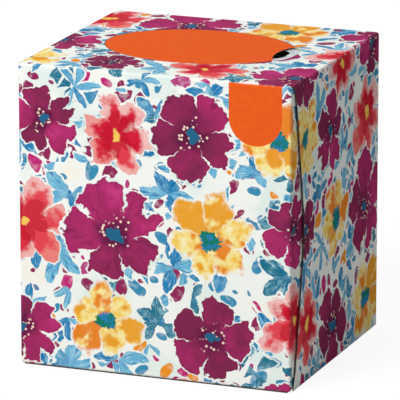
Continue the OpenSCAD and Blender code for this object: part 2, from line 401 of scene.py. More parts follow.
for face in carton.data.polygons:
    places = [blank_map.data[loop].uv / MM for loop in face.loop_indices]
    middle = sum(places, Vector((0, 0))) / len(places)
    if face.material_index == 0:
        flaps_first = BLOCKS[4:] + BLOCKS[:4]
        for low_u, low_v, wide, high, put_u, put_v, size in flaps_first:
            if low_u <= middle.x <= low_u + wide and low_v <= middle.y <= low_v + high:
                break
    elif face.material_index == 1:
        low_u, low_v, put_u, put_v, size = -182, -16, 240, 0, 0.28
    else:
        low_u, low_v, put_u, put_v, size = -182, -16, 364, 364, 0.004
    for loop, place in zip(face.loop_indices, places):
        bake_map.data[loop].uv = (
            (put_u + (place.x - low_u) * size) / SHEET,
            (put_v + (place.y - low_v) * size) / SHEET,
        )


# Inks and board. The design is a generic one of painted flowers: large plum blossoms over
# smaller bright ones, with leaf sprigs and loose petals between them on a white coated ground.
# Places are in millimetres on the flat blank.
def ink(*channels):
    """A printed colour, from sRGB bytes to the linear values that nodes take."""
    shares = [channel / 255 for channel in channels]
    return (*(c / 12.92 if c <= 0.04045 else ((c + 0.055) / 1.055) ** 2.4 for c in shares), 1)


class Wiring:
    """Adds shader nodes to one tree. An input is a socket, a number, a vector or a colour."""

    def __init__(self, tree):
        self.tree = tree

    def fill(self, node, inputs):
        for key, value in dict(inputs).items():
            if isinstance(value, bpy.types.NodeSocket):
                self.tree.links.new(value, node.inputs[key])
            else:
                node.inputs[key].default_value = value

    def node(self, kind, inputs=(), out=0, **settings):
        """Gives one output of a new node, or the node itself where out is None."""
        made = self.tree.nodes.new("ShaderNode" + kind)
        for name, value in settings.items():
            setattr(made, name, value)
        self.fill(made, inputs)
        return made if out is None else made.outputs[out]

    def maths(self, operation, *values):
        return self.node("Math", enumerate(values), operation=operation)

    def times(self, first, second):
        return self.maths("MULTIPLY", first, second)

    def plus(self, first, second):
        return self.maths("ADD", first, second)

    def minus(self, first, second):
        return self.maths("SUBTRACT", first, second)

    def vector(self, operation, *values, out=0):
        return self.node("VectorMath", enumerate(values), out, operation=operation)

    def shifted(self, place, move):
        return self.vector("ADD", place, move)

    def away(self, place, start):
        return self.vector("SUBTRACT", place, start)

    def stretched(self, place, factors):
        return self.vector("MULTIPLY", place, factors)

    def length(self, vector):
        return self.vector("LENGTH", vector, out=1)

    def split(self, vector, kind="SeparateXYZ"):
        """The three parts of a vector or a colour."""
        return self.node(kind, {0: vector}, None).outputs

    def join(self, *parts):
        return self.node("CombineXYZ", enumerate(parts))

    def scaled(self, vector, factor):
        return self.node("VectorMath", {0: vector, 3: factor}, operation="SCALE")

    def turned(self, vector, angle):
        ends = {"Vector": vector, "Angle": angle}
        return self.node("VectorRotate", ends, rotation_type="Z_AXIS")

    def ramp(self, value, low, high, to_low=0.0, to_high=1.0, smooth=True):
        ends = enumerate((value, low, high, to_low, to_high))
        kind = "SMOOTHSTEP" if smooth else "LINEAR"
        return self.node("MapRange", ends, interpolation_type=kind)

    def mix(self, factor, first, second):
        return self.node("Mix", {0: factor, 6: first, 7: second}, 2, data_type="RGBA")

    def mix_value(self, factor, first, second):
        return self.node("Mix", {0: factor, 2: first, 3: second}, 0)

    def mix_vector(self, factor, first, second):
        return self.node("Mix", {0: factor, 4: first, 5: second}, 1, data_type="VECTOR")

    def noise(self, place, scale, detail=2.0, rough=0.5, out="Fac"):
        ends = {"Vector": place, "Scale": scale, "Detail": detail, "Roughness": rough}
        return self.node("TexNoise", ends, out)

    def wander(self, place, scale, amount, detail=2.0):
        """A small move by noise, which makes drawn edges irregular."""
        shift = self.away(self.noise(place, scale, detail, 0.55, "Color"), (0.5, 0.5, 0.5))
        return self.stretched(shift, (amount, amount, 0.0))

    def bump(self, height, strength, distance):
        ends = {"Height": height, "Strength": strength, "Distance": distance}
        return self.node("Bump", ends)

    def on_blank(self):
        """The place on the flat blank, in millimetres."""
        return self.scaled(self.node("UVMap", uv_map="blank"), 1000.0)

    def on_object(self):
        """The place on the object, in millimetres."""
        return self.scaled(self.node("TexCoord", out="Object"), 1000.0)

    def use(self, group, **inputs):
        group = bpy.data.node_groups[group]
        return self.node("Group", inputs, None, node_tree=group).outputs


SOCKETS = {"vector": "NodeSocketVector", "value": "NodeSocketFloat", "colour": "NodeSocketColor"}


def new_group(name, inputs, outputs):
    """Starts a node group with named sockets. Gives its wiring, its inputs, and a call that
    sets an output."""
    tree = bpy.data.node_groups.new(name, "ShaderNodeTree")
    for sockets, way in ((inputs, "INPUT"), (outputs, "OUTPUT")):
        for title, kind in sockets.items():
            tree.interface.new_socket(title, in_out=way, socket_type=SOCKETS[kind])
    draw = Wiring(tree)
    given = tree.nodes.new("NodeGroupInput").outputs
    made = tree.nodes.new("NodeGroupOutput").inputs
    return draw, given, lambda title, socket: tree.links.new(socket, made[title])


# Blossoms of one layer: kind, place across and up the tile, radius and turn in degrees. The tile
# repeats over the blank. The group gives the place within the nearest blossom and which it is.
TILE_W, TILE_H = 142.0, 152.0
PLUM, SUNNY, CORAL = 0, 1, 2
PLUM_LAYER = [
    (PLUM, -57, 15, 17, 10), (PLUM, 24, 19, 19, 33), (PLUM, -17, 58, 21.5, 70),
    (PLUM, 60, 66, 15, 45), (PLUM, -47, 102, 16, 5), (PLUM, 16, 101, 20, 61),
    (PLUM, -23, 139, 14, 25), (PLUM, 54, 137, 18, 12),
]
BRIGHT_LAYER = [
    (SUNNY, -20, 22, 16, 50), (CORAL, 61, 29, 17, 0), (CORAL, -54, 59, 18, 20),
    (SUNNY, 24, 60, 18, 15), (SUNNY, 52, 101, 16, 80), (CORAL, -15, 99, 18, 40),
    (SUNNY, -60, 138, 18, 66), (CORAL, 16, 141, 16, 31),
]
for name, layer in (("nearest_plum", PLUM_LAYER), ("nearest_bright", BRIGHT_LAYER)):
    draw, given, put = new_group(
        name, {"Place": "vector"}, {"Local": "vector", "Kind": "value", "Seed": "value"}
    )
    best, local, tag = 9.0, (9.0, 9.0, 0.0), (0.0, 0.0, 0.0)
    for number, (kind, across, up, radius, turn) in enumerate(layer):
        away = draw.away(given["Place"], (float(across), float(up), 0.0))
        ends = (TILE_W / 2, TILE_H / 2, 1.0), (-TILE_W / 2, -TILE_H / 2, -1.0)
        away = draw.vector("WRAP", away, *ends)
        away = draw.scaled(away, 1 / radius)
        reach = draw.length(away)
        closer = draw.maths("LESS_THAN", reach, best)
        best = draw.maths("MINIMUM", reach, best)
        local = draw.mix_vector(closer, local, away)
        tag = draw.mix_vector(closer, tag, (float(kind), number + 0.5, math.radians(turn)))
    kind, seed, turn = draw.split(tag)
    put("Local", draw.turned(local, turn))
    put("Kind", kind)
    put("Seed", seed)

# Polar place in a ring of petals. Side is 0 on a petal's middle line and 1 between two petals.
draw, given, put = new_group(
    "petal_ring",
    {"Local": "vector", "Seed": "value", "Petals": "value"},
    {"Radius": "value", "Side": "value", "Across": "value", "Random": "value", "Other": "value"},
)
x, y = draw.split(given["Local"])[:2]
radius = draw.length(draw.stretched(given["Local"], (1.0, 1.0, 0.0)))
step = draw.maths("DIVIDE", 2 * math.pi, given["Petals"])
place = draw.plus(draw.maths("DIVIDE", draw.maths("ARCTAN2", y, x), step), 20.0)
aside = draw.minus(draw.maths("FRACT", place), 0.5)
petal = draw.maths("FLOORED_MODULO", draw.maths("FLOOR", place), given["Petals"])
pick = draw.plus(petal, draw.times(given["Seed"], 11.3))
dice = draw.node("TexWhiteNoise", {"W": pick}, None, noise_dimensions="1D").outputs
put("Radius", radius)
put("Side", draw.times(draw.maths("ABSOLUTE", aside), 2.0))
put("Across", draw.times(aside, step))
put("Random", dice["Value"])
put("Other", draw.split(dice["Color"], "SeparateColor")[1])

BLOSSOM_IN = {"Place": "vector", "Local": "vector", "Seed": "value"}
BLOSSOM_OUT = {"Color": "colour", "Mask": "value", "Field": "value"}

# Plum blossom: five ragged, notched petals with white slits between them and a dotted heart.
draw, given, put = new_group("plum_blossom", BLOSSOM_IN, BLOSSOM_OUT)
place = given["Place"]
local = draw.shifted(given["Local"], draw.wander(place, 0.13, 0.5))
local = draw.shifted(local, draw.wander(place, 0.6, 0.12))
ring = draw.use("petal_ring", Local=local, Seed=given["Seed"], Petals=5.0)
radius, side, across, random, other = ring
dip = draw.times(draw.maths("POWER", side, 3.0), 0.30)
notch = draw.times(draw.ramp(side, 0.0, 0.34, 1.0, 0.0), draw.ramp(other, 0.35, 0.9, 0.0, 0.24))
edge = draw.minus(draw.minus(1.0, dip), notch)
edge = draw.times(edge, draw.ramp(random, 0.0, 1.0, 0.80, 1.06, False))
field = draw.minus(edge, radius)
off_seam = draw.times(draw.minus(1.0, side), draw.times(radius, math.pi / 5))
slit_width = draw.ramp(radius, 0.3, 0.95, -0.04, 0.15, False)
slit_width = draw.times(slit_width, draw.noise(place, 0.22, 1.0))
slit = draw.ramp(draw.minus(off_seam, slit_width), -0.008, 0.01)
mask = draw.times(draw.ramp(field, -0.01, 0.014), slit)
wash = draw.noise(place, 0.075, 3.0, 0.6)
tone = draw.plus(draw.times(random, 0.45), draw.times(wash, 0.8))
body = draw.mix(draw.ramp(tone, 0.38, 0.95), ink(128, 44, 80), ink(186, 50, 112))
body = draw.mix(draw.ramp(tone, 0.80, 1.05), body, ink(212, 74, 142))
stroke = draw.join(draw.times(across, 7.0), radius, given["Seed"])
grain = draw.noise(stroke, 1.3, 3.0, 0.6)
body = draw.mix(draw.ramp(grain, 0.50, 0.70, 0.0, 0.45), body, ink(106, 30, 68))
body = draw.mix(draw.ramp(field, 0.0, 0.06, 0.30, 0.0), body, ink(96, 26, 64))
body = draw.mix(draw.ramp(radius, 0.46, 0.14, 0.0, 0.8), body, ink(82, 26, 64))
dots = {"Vector": place, "Scale": 0.55, "Randomness": 0.9}
dots = draw.node("TexVoronoi", dots, "Distance")
dotted = draw.times(draw.ramp(radius, 0.12, 0.17), draw.ramp(radius, 0.36, 0.30))
body = draw.mix(draw.times(draw.ramp(dots, 0.36, 0.26), dotted), body, ink(246, 214, 196))
body = draw.mix(draw.ramp(radius, 0.15, 0.12), body, ink(40, 104, 140))
put("Color", body)
put("Mask", draw.maths("MAXIMUM", mask, draw.ramp(radius, 0.27, 0.24)))
put("Field", field)

# Coral blossom: six soft petals, pale at their tips, under a second ring of strong red.
draw, given, put = new_group("coral_blossom", BLOSSOM_IN, BLOSSOM_OUT)
place = given["Place"]
local = draw.shifted(given["Local"], draw.wander(place, 0.12, 0.55))
local = draw.shifted(local, draw.wander(place, 0.5, 0.15, 3.0))
ring = draw.use("petal_ring", Local=local, Seed=given["Seed"], Petals=6.0)
radius, side, across, random, other = ring
edge = draw.minus(1.0, draw.times(draw.maths("POWER", side, 2.0), 0.36))
edge = draw.times(edge, draw.ramp(random, 0.0, 1.0, 0.76, 1.08, False))
field = draw.minus(edge, radius)
pool = draw.minus(draw.noise(place, 0.2, 3.0, 0.6), 0.5)
deep = draw.plus(field, draw.times(pool, 0.9))
pale = draw.mix(draw.ramp(other, 0.2, 0.8), ink(246, 198, 194), ink(238, 134, 124))
strong = draw.mix(draw.ramp(random, 0.3, 0.8), ink(214, 34, 60), ink(230, 72, 84))
body = draw.mix(draw.ramp(deep, 0.05, 0.36), pale, strong)
body = draw.mix(draw.ramp(field, 0.0, 0.05, 0.4, 0.0), body, ink(224, 80, 96))
second = draw.use("petal_ring", Local=draw.turned(local, 0.5), Seed=given["Seed"], Petals=5.0)
inner = draw.minus(1.0, draw.times(draw.maths("POWER", second["Side"], 2.5), 0.5))
inner = draw.times(inner, draw.ramp(second["Random"], 0.0, 1.0, 0.40, 0.62, False))
body = draw.mix(draw.ramp(draw.minus(inner, radius), -0.01, 0.03, 0.0, 0.6), body, ink(190, 22, 44))
body = draw.mix(draw.ramp(radius, 0.15, 0.10), body, ink(248, 200, 96))
off_seam = draw.times(draw.minus(1.0, side), draw.times(radius, math.pi / 6))
slit_width = draw.ramp(radius, 0.35, 1.0, -0.02, 0.06, False)
slit = draw.ramp(draw.minus(off_seam, slit_width), -0.01, 0.015)
put("Color", body)
put("Mask", draw.times(draw.ramp(field, -0.02, 0.03), slit))
put("Field", field)

# Sunny blossom: wet yellow and orange washes with soft edges, and a green and blue heart.
draw, given, put = new_group("sunny_blossom", BLOSSOM_IN, BLOSSOM_OUT)
place = given["Place"]
local = draw.shifted(given["Local"], draw.wander(place, 0.10, 0.6, 3.0))
ring = draw.use("petal_ring", Local=local, Seed=given["Seed"], Petals=6.0)
radius, side, across, random, other = ring
edge = draw.minus(1.0, draw.times(draw.maths("POWER", side, 2.0), 0.26))
edge = draw.times(edge, draw.ramp(random, 0.0, 1.0, 0.84, 1.10, False))
field = draw.minus(edge, radius)
wet = draw.noise(place, 0.26, 4.0, 0.6)
bleed = draw.plus(field, draw.times(draw.minus(wet, 0.5), 0.35))
body = draw.mix(draw.ramp(wet, 0.40, 0.62), ink(252, 234, 160), ink(248, 204, 88))
deep = draw.plus(draw.times(draw.noise(place, 0.13), 1.3), draw.times(random, 0.4))
orange = draw.mix(draw.ramp(other, 0.3, 0.7), ink(238, 160, 40), ink(236, 126, 34))
body = draw.mix(draw.ramp(deep, 0.78, 0.92, 0.0, 0.92), body, orange)
body = draw.mix(draw.ramp(deep, 0.58, 0.46, 0.0, 0.6), body, ink(252, 246, 220))
off_seam = draw.times(draw.minus(1.0, side), radius)
vein = draw.times(draw.ramp(off_seam, 0.09, 0.02, 0.0, 0.6), draw.ramp(radius, 0.25, 0.5))
body = draw.mix(vein, body, ink(250, 240, 204))
ragged = draw.times(draw.minus(draw.noise(place, 0.8), 0.5), 0.3)
heart = draw.ramp(draw.plus(radius, ragged), 0.26, 0.21)
green = draw.mix(draw.ramp(wet, 0.42, 0.6), ink(24, 124, 96), ink(46, 130, 184))
body = draw.mix(heart, body, green)
put("Color", body)
put("Mask", draw.ramp(bleed, -0.05, 0.10))
put("Field", field)

# Leaf sprigs: blue brush strokes that fan out from a point, some light, some dark teal.
draw, given, put = new_group(
    "leaf_sprigs", {"Place": "vector", "Pitch": "value", "Missing": "value"}, BLOSSOM_OUT
)
place = draw.shifted(given["Place"], draw.wander(given["Place"], 0.09, 5.5))
place = draw.shifted(place, draw.wander(given["Place"], 0.7, 1.3, 3.0))
size = {"Vector": place, "Scale": draw.maths("DIVIDE", 1.0, given["Pitch"]), "Randomness": 0.7}
flat_cells = {"voronoi_dimensions": "2D"}
cells = draw.node("TexVoronoi", size, None, **flat_cells).outputs
border = draw.node("TexVoronoi", size, **flat_cells, feature="DISTANCE_TO_EDGE")
first, second, third = draw.split(cells["Color"], "SeparateColor")
local = draw.away(place, cells["Position"])
local = draw.scaled(local, draw.maths("DIVIDE", 1.62, given["Pitch"]))
local = draw.turned(local, draw.times(first, 6.28))
seed = draw.times(second, 50.0)
radius, side, across, random, other = draw.use("petal_ring", Local=local, Seed=seed, Petals=6.0)
along = draw.times(radius, draw.maths("COSINE", across))
aside = draw.maths("ABSOLUTE", draw.times(radius, draw.maths("SINE", across)))
share = draw.maths("DIVIDE", along, draw.ramp(random, 0.0, 1.0, 0.72, 1.12, False))
share = draw.maths("MINIMUM", draw.maths("MAXIMUM", share, 0.0), 1.0)
width = draw.maths("POWER", draw.maths("SINE", draw.times(share, math.pi)), 0.6)
field = draw.minus(draw.times(width, draw.ramp(third, 0.0, 1.0, 0.11, 0.26, False)), aside)
field = draw.mix_value(draw.maths("GREATER_THAN", other, given["Missing"]), -1.0, field)
field = draw.maths("MINIMUM", field, draw.times(draw.minus(border, 0.035), 2.0))
blue = draw.mix(draw.ramp(random, 0.45, 0.5), ink(40, 132, 186), ink(112, 186, 220))
blue = draw.mix(draw.ramp(third, 0.80, 0.82), blue, ink(36, 116, 138))
wash = draw.noise(place, 0.2, 3.0, 0.6)
blue = draw.mix(draw.ramp(wash, 0.45, 0.68, 0.0, 0.6), blue, ink(160, 212, 228))
stroke = draw.join(draw.times(across, 9.0), radius, seed)
streaks = draw.noise(stroke, 1.6, 3.0, 0.6)
blue = draw.mix(draw.ramp(streaks, 0.52, 0.62, 0.0, 0.75), blue, ink(28, 108, 162))
blue = draw.mix(draw.ramp(streaks, 0.44, 0.36, 0.0, 0.6), blue, ink(190, 226, 234))
blue = draw.mix(draw.ramp(field, 0.0, 0.04, 0.30, 0.0), blue, ink(32, 100, 150))
put("Color", blue)
put("Mask", draw.ramp(field, -0.005, 0.025))
put("Field", field)

# Loose petals: small brush dabs of plum, blue and a little orange.
draw, given, put = new_group(
    "loose_petals", {"Place": "vector"}, {"Color": "colour", "Mask": "value"}
)
place = draw.shifted(given["Place"], draw.wander(given["Place"], 0.2, 1.6))
cells = {"Vector": place, "Scale": 1 / 7.8, "Randomness": 0.8}
cells = draw.node("TexVoronoi", cells, None, **flat_cells).outputs
first, second, third = draw.split(cells["Color"], "SeparateColor")
local = draw.turned(draw.away(place, cells["Position"]), draw.times(first, 6.28))
reach = draw.length(draw.stretched(local, (1.0, 1.7, 0.0)))
dab = draw.minus(draw.ramp(second, 0.0, 0.9, 1.1, 4.9, False), reach)
body = draw.mix(draw.ramp(third, 0.45, 0.47), ink(148, 46, 92), ink(62, 144, 182))
body = draw.mix(draw.ramp(third, 0.78, 0.80), body, ink(196, 46, 120))
body = draw.mix(draw.ramp(third, 0.93, 0.94), body, ink(238, 150, 44))
body = draw.mix(draw.ramp(draw.noise(place, 0.3), 0.5, 0.7, 0.0, 0.3), body, ink(250, 240, 240))
put("Color", body)
put("Mask", draw.ramp(dab, -0.1, 0.25))

# The whole print: the layers over the ground, each with a thin white margin round it.
draw, given, put = new_group("flower_print", {"Place": "vector"}, {"Color": "colour"})
place = given["Place"]
tint = draw.noise(place, 0.045)
paint = draw.mix(draw.ramp(tint, 0.38, 0.50), ink(230, 242, 236), ink(246, 249, 243))
paint = draw.mix(draw.ramp(tint, 0.58, 0.72, 0.0, 0.8), paint, ink(250, 244, 228))
near = draw.use("nearest_plum", Place=place)
plum = draw.use("plum_blossom", Place=place, Local=near["Local"], Seed=near["Seed"])
near = draw.use("nearest_bright", Place=place)
coral = draw.use("coral_blossom", Place=place, Local=near["Local"], Seed=near["Seed"])
sunny = draw.use("sunny_blossom", Place=place, Local=near["Local"], Seed=near["Seed"])
is_coral = draw.ramp(near["Kind"], 1.4, 1.6, smooth=False)
bright = draw.mix(is_coral, sunny["Color"], coral["Color"])
bright_mask = draw.mix_value(is_coral, sunny["Mask"], coral["Mask"])
bright_field = draw.mix_value(is_coral, sunny["Field"], coral["Field"])
leaf = draw.use("leaf_sprigs", Place=place, Pitch=21.0, Missing=0.34)
moved = draw.shifted(place, (37.0, 61.0, 0.0))
under = draw.use("leaf_sprigs", Place=moved, Pitch=14.5, Missing=0.7)
petal = draw.use("loose_petals", Place=place)
off_plum = draw.ramp(plum["Field"], -0.065, -0.035, 1.0, 0.0)
off_bright = draw.times(off_plum, draw.ramp(bright_field, -0.06, -0.03, 1.0, 0.0))
off_leaf = draw.times(off_bright, draw.ramp(leaf["Field"], -0.07, -0.04, 1.0, 0.0))
off_under = draw.times(off_leaf, draw.ramp(under["Field"], -0.10, -0.06, 1.0, 0.0))
paint = draw.mix(draw.times(petal["Mask"], off_under), paint, petal["Color"])
paint = draw.mix(draw.times(under["Mask"], off_leaf), paint, under["Color"])
paint = draw.mix(draw.times(leaf["Mask"], off_bright), paint, leaf["Color"])
paint = draw.mix(draw.times(bright_mask, off_plum), paint, bright)
put("Color", draw.mix(plum["Mask"], paint, plum["Color"]))

# Where the print ends on the hidden flaps, where the plain fields are, and where scores crack.
# The tab is a plain strip with a round foot, down from the front panel's upper edge.
TAB_X, TAB_FOOT, TAB_R = 42.65, 110.0, 11.05
PRINT_HALF = 78.0
draw, given, put = new_group(
    "blank_layout",
    {"Place": "vector"},
    {"Printed": "value", "Oval": "value", "Tab": "value", "Score": "value"},
)
u, v = draw.split(given["Place"])[:2]
out = draw.maths("ABSOLUTE", u)
oval = draw.away(given["Place"], (OVAL_X / MM, (TOP_MIDDLE + OVAL_Y) / MM, 0.0))
oval = draw.length(draw.stretched(oval, (MM / OVAL_A, MM / OVAL_B, 0.0)))
put("Oval", draw.ramp(oval, 1.003, 0.997))
tab = draw.away(given["Place"], (TAB_X, TAB_FOOT, 0.0))
tab_x, tab_y = draw.split(tab)[:2]
below = draw.join(tab_x, draw.maths("MINIMUM", tab_y, 0.0))
round_end = draw.ramp(draw.length(below), TAB_R + 0.07, TAB_R - 0.07)
put("Tab", draw.times(round_end, draw.ramp(v, 123.9, 123.75)))
on_top = draw.maths("COMPARE", v, TOP_MIDDLE / MM, (TOP_1 - TOP_0) / 2 / MM + 0.1)
printed = draw.maths("MAXIMUM", on_top, draw.maths("LESS_THAN", out, PRINT_HALF))
put("Printed", draw.times(printed, draw.maths("GREATER_THAN", v, -1.5)))
score = 9.0
for fold_start in (FRONT_0 - FOLD_STRIP, FRONT_1, TOP_1, BACK_1):
    fold_line = (fold_start + FOLD_STRIP / 2) / MM
    score = draw.maths("MINIMUM", score, draw.maths("ABSOLUTE", draw.minus(v, fold_line)))
ends = draw.maths("ABSOLUTE", draw.minus(out, (HALF_W - FOLD_R + FOLD_STRIP / 2) / MM))
score = draw.maths("MINIMUM", score, ends)
put("Score", draw.ramp(score, 0.75, 0.1))

# Fine paper fibre for every surface of board and tissue: a height and a slight mottle.
draw, given, put = new_group(
    "paper_fibre", {"Place": "vector", "Size": "value"}, {"Height": "value", "Mottle": "value"}
)
place = draw.scaled(given["Place"], draw.maths("DIVIDE", 1.0, given["Size"]))
long_way = draw.noise(draw.stretched(place, (0.3, 1.0, 1.0)), 1.0, 3.0, 0.6)
cross_way = draw.noise(draw.stretched(place, (1.0, 0.35, 1.0)), 1.4, 3.0, 0.6)
put("Height", draw.plus(draw.times(long_way, 0.6), draw.times(cross_way, 0.4)))
put("Mottle", draw.noise(place, 0.12, 3.0, 0.6))


def new_material(name):
    """A material with an empty tree. Gives it, its wiring and its Principled shader."""
    material = bpy.data.materials.new(name)
    material.use_nodes = True
    material.node_tree.nodes.clear()
    draw = Wiring(material.node_tree)
    shader = draw.node("BsdfPrincipled", out=None)
    draw.node("OutputMaterial", {"Surface": shader.outputs[0]}, None)
    return material, draw, shader


def wire(draw, shader, **inputs):
    """Sets the shader's sockets. A word's underscores stand for spaces."""
    draw.fill(shader, {title.replace("_", " "): value for title, value in inputs.items()})


printed_board, draw, shader = new_material("printed_board")
place = draw.on_blank()
layout = draw.use("blank_layout", Place=place)
fibre = draw.use("paper_fibre", Place=place, Size=0.35)
ground = draw.mix(draw.ramp(fibre["Mottle"], 0.35, 0.65), ink(249, 248, 243), ink(244, 243, 238))
colour = draw.mix(layout["Printed"], ground, draw.use("flower_print", Place=place)["Color"])
orange_field = draw.mix(draw.ramp(fibre["Mottle"], 0.3, 0.7), ink(236, 92, 34), ink(240, 100, 34))
colour = draw.mix(draw.maths("MAXIMUM", layout["Oval"], layout["Tab"]), colour, orange_field)
cracks = draw.ramp(draw.noise(place, 0.35, 5.0, 0.7), 0.46, 0.74)
cracks = draw.times(cracks, draw.times(layout["Score"], 0.4))
colour = draw.mix(cracks, colour, ink(246, 243, 238))
coat = draw.ramp(draw.noise(place, 0.06, 3.0, 0.6), 0.3, 0.7, 0.36, 0.46)
bump = draw.bump(fibre["Height"], 0.05, 0.0001)
wire(
    draw, shader, Base_Color=colour, Roughness=draw.plus(coat, draw.times(cracks, 0.4)),
    Normal=bump, IOR=1.48, Specular_IOR_Level=0.001,
)

# The inside is uncoated recycled board, pale grey-brown with darker fibres in it.
bare_board, draw, shader = new_material("bare_board")
place = draw.on_blank()
fibre = draw.use("paper_fibre", Place=place, Size=0.5)
specks = draw.noise(draw.stretched(place, (1.0, 0.3, 1.0)), 1.6, 2.0)
specks = draw.ramp(specks, 0.66, 0.72, 0.0, 0.5)
colour = draw.mix(fibre["Mottle"], ink(186, 178, 164), ink(168, 159, 144))
bump = draw.bump(fibre["Height"], 0.2, 0.0001)
colour = draw.mix(specks, colour, ink(120, 110, 98))
wire(draw, shader, Base_Color=colour, Roughness=0.85, Normal=bump)

# The cut edges are coloured dark grey-brown, darker than the board's pale core: painted shade
# standing in for the dark gap along the seam. At the finger hole's outer end the punch drags the
# pale liner over the edge.
cut_edge, draw, shader = new_material("cut_edge")
place = draw.on_object()
fibre = draw.use("paper_fibre", Place=place, Size=0.15)
# Painted shade: the dark grey-brown of the cut edges, for the shadowed gap at the seam.
colour = draw.mix(draw.ramp(fibre["Mottle"], 0.35, 0.65), ink(62, 52, 44), ink(88, 76, 66))
x, y, z = draw.split(place)
dragged = draw.times(draw.ramp(x, 34.5, 37.5), draw.ramp(z, 122.5, 123.2))
dragged = draw.times(dragged, draw.ramp(x, 42.0, 41.5))
colour = draw.mix(dragged, colour, ink(210, 202, 188))
bump = draw.bump(fibre["Height"], 0.3, 0.0001)
wire(draw, shader, Base_Color=colour, Roughness=0.9, Normal=bump)

for number, material in enumerate((printed_board, bare_board, cut_edge)):
    carton.data.materials[number] = material
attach(carton, "root")
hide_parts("carton")


# Film window
# A thin polyethylene film, glued under the top panel round the oval. Its slot grips the next
# tissue. The free film sags a little and is faintly wrinkled from the gluing.
FILM_X = (-49.2 * MM, 47.8 * MM)
FILM_Y = (-37.95 * MM, 39.55 * MM)
FILM_TOP = HEIGHT - BOARD - HAIR
FILM_THICK = 0.06 * MM
SLOT_X = (-36.2 * MM, 36.4 * MM)
SLOT_Y = (-6.7 * MM, 8.3 * MM)
SLOT_R = 5 * MM


def sheet_between(x_ends, y_ends, z, columns, rows):
    """A flat grid between two corners, at a height, left in edit mode with all of it selected."""
    bpy.ops.object.select_all(action="DESELECT")
    bpy.ops.mesh.primitive_grid_add(
        x_subdivisions=columns, y_subdivisions=rows, size=1, location=(0, 0, 0)
    )
    bpy.ops.object.mode_set(mode="EDIT")
    bpy.ops.mesh.select_mode(type="VERT")
    size = (x_ends[1] - x_ends[0], y_ends[1] - y_ends[0], 1)
    bpy.ops.transform.resize(value=size, center_override=(0, 0, 0))
    bpy.ops.transform.translate(value=(sum(x_ends) / 2, sum(y_ends) / 2, z))
    return bpy.context.object


def near_corner(p, x_ends, y_ends):
    return any(close_to(p.x, end) for end in x_ends) and any(close_to(p.y, end) for end in y_ends)


slot_die = sheet_between(SLOT_X, SLOT_Y, FILM_TOP - 2 * MM, 1, 1)
bpy.ops.mesh.bevel(offset=SLOT_R, segments=8, affect="VERTICES")
bpy.ops.mesh.select_all(action="SELECT")
bpy.ops.mesh.extrude_region_move(TRANSFORM_OT_translate={"value": (0, 0, 4 * MM)})
bpy.ops.mesh.select_all(action="SELECT")
bpy.ops.mesh.normals_make_consistent(inside=False)
bpy.ops.object.mode_set(mode="OBJECT")

film = sheet_between(FILM_X, FILM_Y, FILM_TOP, 40, 32)
film.name = "film_sheet"
# The free film inside the glued border hangs down by up to 0.8 mm and ripples.
mesh = bmesh.from_edit_mesh(film.data)
for vert in mesh.verts:
    x, y = (vert.co.x - OVAL_X) / (OVAL_A + 3 * MM), (vert.co.y - OVAL_Y) / (OVAL_B + 3 * MM)
    free = smooth_step(0, 0.5, 1 - math.hypot(x, y))
    ripple = 0.16 * math.sin(14 * x + 3 * y) + 0.12 * math.sin(9 * y - 5 * x)
    vert.co.z -= free * (0.55 + ripple) * MM
bmesh.update_edit_mesh(film.data)
select_in(film, lambda p: near_corner(p, FILM_X, FILM_Y))
bpy.ops.mesh.bevel(offset=2 * MM, segments=3, affect="VERTICES")
bpy.ops.object.mode_set(mode="OBJECT")
apply_modifier("SOLIDIFY", thickness=FILM_THICK, offset=-1)
cut_with(film, slot_die)
shade(film, 30)

clear_film, draw, shader = new_material("clear_film")
place = draw.on_object()
streaks = draw.noise(draw.stretched(place, (0.12, 1.0, 1.0)), 0.5, 3.0, 0.6)
haze = draw.ramp(streaks, 0.35, 0.7, 0.42, 0.60)
# Glue wets the film under the slits, and makes it clear there.
oval = draw.away(place, (OVAL_X / MM, OVAL_Y / MM, FILM_TOP / MM))
oval = draw.length(draw.stretched(oval, (MM / OVAL_A, MM / OVAL_B, 0.0)))
x = draw.split(place)[0]
glued = draw.times(draw.ramp(oval, 0.97, 0.985), draw.ramp(x, 31.0, 30.0))
haze = draw.mix_value(glued, haze, 0.08)
bump = draw.bump(draw.noise(place, 0.25, 3.0), 0.3, 0.0004)
wire(
    draw, shader, Base_Color=draw.mix(streaks, ink(192, 202, 206), ink(214, 221, 223)), Alpha=haze,
    Roughness=draw.ramp(streaks, 0.3, 0.7, 0.16, 0.30), Normal=bump, IOR=1.5,
)
film.data.materials.append(clear_film)
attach(film, "root")
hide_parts("film_window")


